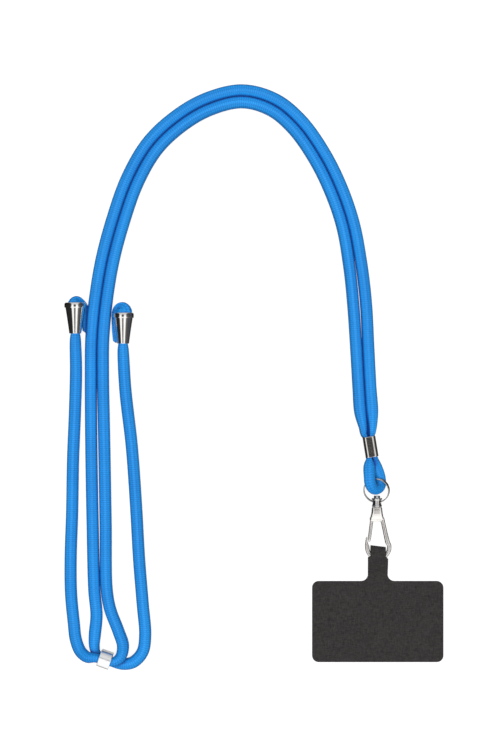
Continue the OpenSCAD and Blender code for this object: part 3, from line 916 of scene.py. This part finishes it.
def makeTab():
    pts, run, foldRun = clothPath()
    top = tabSize["height"] / 2
    rows = list(-top + tabSize["corner"] * (1 - np.cos(np.linspace(0, math.pi / 2, 8))))
    rows += list(np.linspace(-top + tabSize["corner"] + 1.6, top - tabSize["corner"] - 1.6, 20))
    rows += list(top - tabSize["corner"] * (1 - np.cos(np.linspace(math.pi / 2, 0, 8))))
    rows += [top + 1e-4] + list(top + tabSize["fillet"] * (1 - np.cos(
        np.linspace(0.35, math.pi / 2, 7))))
    rows += list(np.linspace(top + tabSize["fillet"] + 0.7, run[-1], 70))
    across = 40
    points, faces = [], []
    for s in rows:
        if s <= 0:
            y, z = s, tabSize["flat"]
        else:
            y, z = np.interp(s, run, pts[:, 0]), np.interp(s, run, pts[:, 1])
        left, right = edgesAt(s, foldRun)
        lean = tabSize["slope"] * float(np.clip((y - 28) / 5, 0, 1))
        for k in range(across + 1):
            t = k / across
            if right > 12:  # more points near the corners
                t = 0.5 + 0.5 * math.sin((t - 0.5) * math.pi)
            x = left + (right - left) * t
            points.append((x, y - lean * (x - tabSize["foldSides"][0]), z))
    for i in range(len(rows) - 1):
        for k in range(across):
            a = i * (across + 1) + k
            faces.append((a, a + 1, a + across + 2, a + across + 1))
    piece = newPiece("tab_cloth", points, faces, "cloth")
    skinOn = piece.modifiers.new("thick", "SOLIDIFY")
    skinOn.thickness, skinOn.offset = tabSize["cloth"] * mm, 0
    edge = piece.modifiers.new("edge", "BEVEL")
    edge.width, edge.segments, edge.limit_method = 0.12 * mm, 2, "ANGLE"
    edge.angle_limit = math.radians(55)
    return shadeSoftly(outward(settle(piece)), 60)


tab = makeTab()
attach(tab, "tab")
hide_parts("tab_fabric")
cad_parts["tab_backing"].data.materials.clear()
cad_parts["tab_backing"].data.materials.append(finishes["film"])

tuple(cordPath[0] * mm)
round(cordLength * mm, 3)
(cordPath * mm).tolist()


# floor and light; the metal mirrors a banded room through the paper
studio = {
    "floor": (0.24, 0.24, 0.24, 1.0), "glow": 0.83, "size": 6.0, "lowered": 0.00002,
    # soft light by height: (sine of the height, brightness)
    "soft": [(0.0, 0.0), (0.45, 0.12), (0.8, 1.0), (1.0, 3.6)], "fill": 1.0,
    # what the metal mirrors: dark straight up, dark to both sides, and a bright strip between;
    # each band is a list of places from 0 to 1 with their brightness
    "below": [(0.0, 0.9), (0.04, 0.8), (0.10, 0.12), (0.24, 0.12), (0.34, 1.0), (1.0, 1.0)],
    "overhead": [(0.0, 1.0), (0.955, 1.0), (0.982, 0.05), (1.0, 0.03)],
    "sideways": [(0.0, 0.02), (0.18, 0.02), (0.26, 1.0), (0.74, 1.0), (0.82, 0.13), (1.0, 0.05)],
    # a dark line down the middle, and how far along it reaches
    "line": [(0.0, 0.0), (0.37, 0.0), (0.42, 0.85), (0.56, 0.85), (0.61, 0.0), (1.0, 0.0)],
    "reach": [(0.0, 0.0), (0.25, 0.0), (0.275, 1.0), (0.40, 1.0), (0.44, 0.0), (1.0, 0.0)],
    "lengthways": [(0.0, 1.25), (0.45, 1.25), (0.62, 0.8), (1.0, 0.7)],
    # softboxes: place, size, power
    "boxes": [((-0.45, 0.1, 1.4), (0.3, 1.2), 3.0), ((0.35, 0.1, 1.4), (0.3, 1.2), 3.0)],
    "aim": (-0.06, 0.11, 0.0),
}


def makeFloor():
    half = studio["size"] / 2
    mesh = bpy.data.meshes.new("floor")
    mesh.from_pydata([(-half, -half, 0), (half, -half, 0), (half, half, 0), (-half, half, 0)], [],
                     [(0, 1, 2, 3)])
    floor = bpy.data.objects.new("floor", mesh)
    floor.location = (0, 0, -studio["lowered"])
    bpy.context.scene.collection.objects.link(floor)
    f = Finish("paper_floor")
    rays = f.node("ShaderNodeLightPath")
    paper = f.node("ShaderNodeBsdfPrincipled", None,
                   {"Base Color": studio["floor"], "Roughness": 0.9, "Specular IOR Level": 0.1,
                    "Emission Color": (1, 1, 1, 1), "Emission Strength": rays * studio["glow"]})
    # the metal sees through the paper, so its edges stay crisp
    clear = f.node("ShaderNodeBsdfTransparent")
    f.finish(f.node("ShaderNodeMixShader", None,
                    {0: rays.output("Is Glossy Ray"), 1: paper, 2: clear}))
    mesh.materials.append(f.material)


def makeWorld():
    world = bpy.data.worlds.new("studio")
    bpy.context.scene.world = world
    world.use_nodes = True
    room = Board(world.node_tree, "ShaderNodeOutputWorld")

    # a grey level by place; brighter is what the ramp's white stands for
    def level(place, name, brighter=1.0):
        stops = [(at, (grey / brighter,) * 3 + (1.0,)) for at, grey in studio[name]]
        return room.node("ShaderNodeValToRGB", {"stops": stops}, {"Fac": place}) * brighter

    x = room.node("ShaderNodeSeparateXYZ", None,
                  {0: room.node("ShaderNodeTexCoord", output="Generated")})
    y, z = x.output("Y"), x.output("Z")
    acrossRoom, alongRoom, upRoom = (x + 1.0) * 0.5, (y + 1.0) * 0.5, (z + 1.0) * 0.5
    strip = level(z, "overhead") * level(acrossRoom, "sideways")
    strip = strip * level(alongRoom, "lengthways", 2.0) * level(upRoom, "below")
    strip = strip * (1.0 - level(acrossRoom, "line") * level(alongRoom, "reach"))
    fill = room.node("ShaderNodeBackground", None,
                     {"Color": level(z, "soft", 4.0), "Strength": studio["fill"]})
    mirrored = room.node("ShaderNodeBackground", None, {"Color": strip, "Strength": 1.0})
    glossy = room.node("ShaderNodeLightPath", output="Is Glossy Ray")
    room.finish(room.node("ShaderNodeMixShader", None, {0: glossy, 1: fill, 2: mirrored}))


def softbox(name, place, size, power):
    data = bpy.data.lights.new(name, "AREA")
    data.shape, data.size, data.size_y, data.energy = "RECTANGLE", size[0], size[1], power
    lamp = bpy.data.objects.new(name, data)
    lamp.location = place
    lamp.visible_glossy = False
    toAim = Vector(studio["aim"]) - Vector(place)
    lamp.rotation_euler = toAim.to_track_quat("-Z", "Y").to_euler()
    bpy.context.scene.collection.objects.link(lamp)


makeFloor()
makeWorld()
for name, box in zip(("left_box", "right_box"), studio["boxes"]):
    softbox(name, *box)
bpy.context.scene.view_settings.view_transform = "Standard"
print("studio made")
